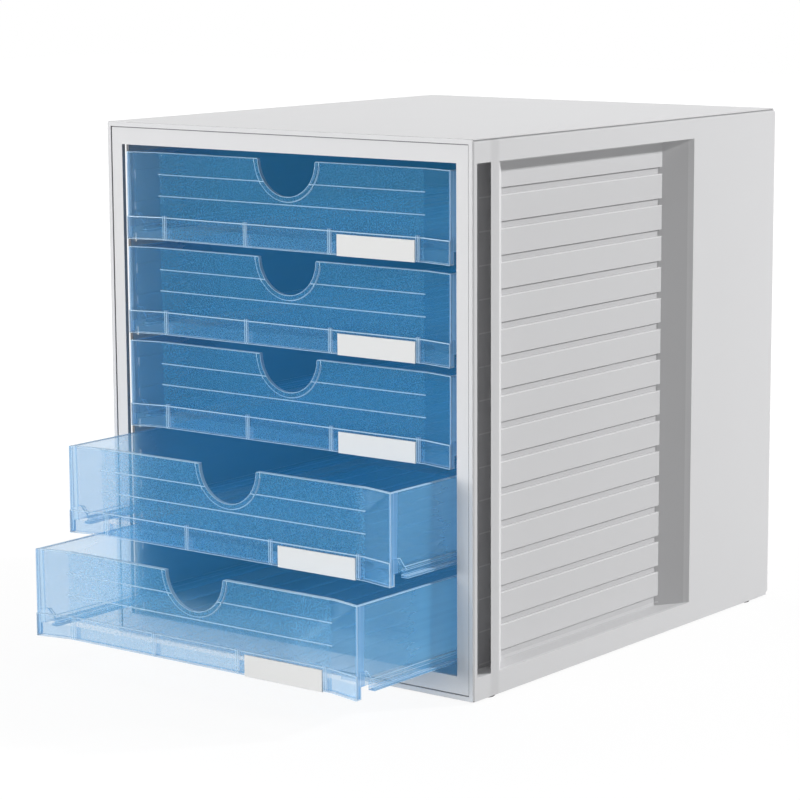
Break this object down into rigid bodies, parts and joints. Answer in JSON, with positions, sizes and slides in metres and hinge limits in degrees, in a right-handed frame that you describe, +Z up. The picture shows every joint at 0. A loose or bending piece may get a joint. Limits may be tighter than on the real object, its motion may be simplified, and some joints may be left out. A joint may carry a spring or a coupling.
{
  "type": "desktop drawer organizer",
  "caption": "Desktop box with see-through slide-out drawers, bent fronts with round finger grips and label strips, in a ribbed grey housing.",
  "frame": {"origin": "centre of the housing's footprint, on the table that the feet stand on", "axes": "+X to the right seen from the front, +Y back from the drawer fronts, +Z up"},
  "size_m": [0.275, 0.4165, 0.32],
  "materials": {
    "housing_grey": "fine-grained light grey polystyrene",
    "drawer_blue": "see-through blue polystyrene, glossy, with a finely grained front",
    "clear_strip": "clear glossy strip",
    "label_white": "plain white",
    "foot_rubber": "black rubber"
  },
  "bodies": {
    "housing": {"top_panel": "housing_grey", "base_panel": "housing_grey", "rear_panel": "housing_grey", "front_frame": "housing_grey", "side_panel_right": "housing_grey", "side_panel_left": "housing_grey", "runner_panel_right": "housing_grey", "runner_panel_left": "housing_grey", "foot_front_left": "foot_rubber", "foot_front_right": "foot_rubber", "foot_back_left": "foot_rubber", "foot_back_right": "foot_rubber"},
    "drawer_1": {"drawer_1": "drawer_blue", "label_rail_1": "clear_strip", "label_plate_1": "label_white"},
    "drawer_2": {"drawer_2": "drawer_blue", "label_rail_2": "clear_strip", "label_plate_2": "label_white"},
    "drawer_3": {"drawer_3": "drawer_blue", "label_rail_3": "clear_strip", "label_plate_3": "label_white"},
    "drawer_4": {"drawer_4": "drawer_blue", "label_rail_4": "clear_strip", "label_plate_4": "label_white"},
    "drawer_5": {"drawer_5": "drawer_blue", "label_rail_5": "clear_strip", "label_plate_5": "label_white"}
  },
  "joints": [
    {"name": "drawer_1_slide", "type": "slide", "parent": "housing", "child": "drawer_1", "axis": [0, -1, 0], "range_m": [0, 0.235]},
    {"name": "drawer_2_slide", "type": "slide", "parent": "housing", "child": "drawer_2", "axis": [0, -1, 0], "range_m": [0, 0.235]},
    {"name": "drawer_3_slide", "type": "slide", "parent": "housing", "child": "drawer_3", "axis": [0, -1, 0], "range_m": [0, 0.235]},
    {"name": "drawer_4_slide", "type": "slide", "parent": "housing", "child": "drawer_4", "axis": [0, -1, 0], "range_m": [-0.0557, 0.1793]},
    {"name": "drawer_5_slide", "type": "slide", "parent": "housing", "child": "drawer_5", "axis": [0, -1, 0], "range_m": [-0.0858, 0.1492]}
  ]
}
